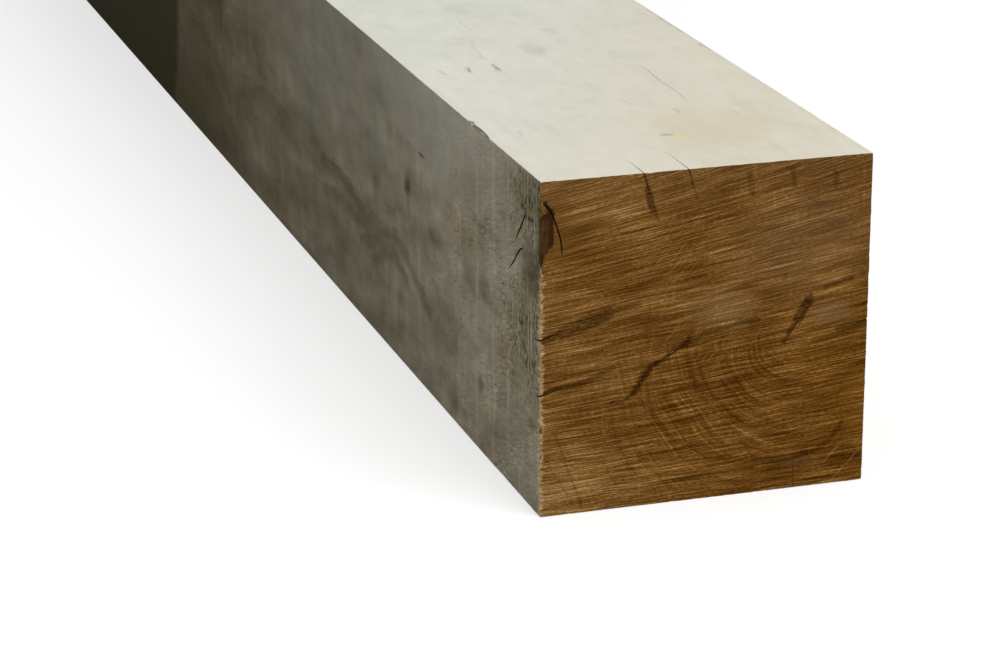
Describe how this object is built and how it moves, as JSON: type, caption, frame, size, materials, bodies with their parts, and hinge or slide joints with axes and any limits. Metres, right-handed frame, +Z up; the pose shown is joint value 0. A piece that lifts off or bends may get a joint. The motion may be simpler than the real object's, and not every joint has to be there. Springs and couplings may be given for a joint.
{
  "type": "oak beam",
  "caption": "Square sawn oak beam lying flat, with a bleached top, weathered grey sides, a brown cross-cut end and open drying checks, for lintels, posts and framing.",
  "frame": {"origin": "middle of the underside, on the floor that the beam lies on", "axes": "+Y along the beam's length, away from the end with the checks; +X across it, to the right as seen from that end; +Z up"},
  "size_m": [0.2, 2.4, 0.2],
  "materials": {
    "oak": "sawn and unfinished: bleached cream top, weathered grey-brown sides, brown cross-cut ends"
  },
  "bodies": {
    "root": {"oak_beam": "oak"}
  },
  "joints": []
}
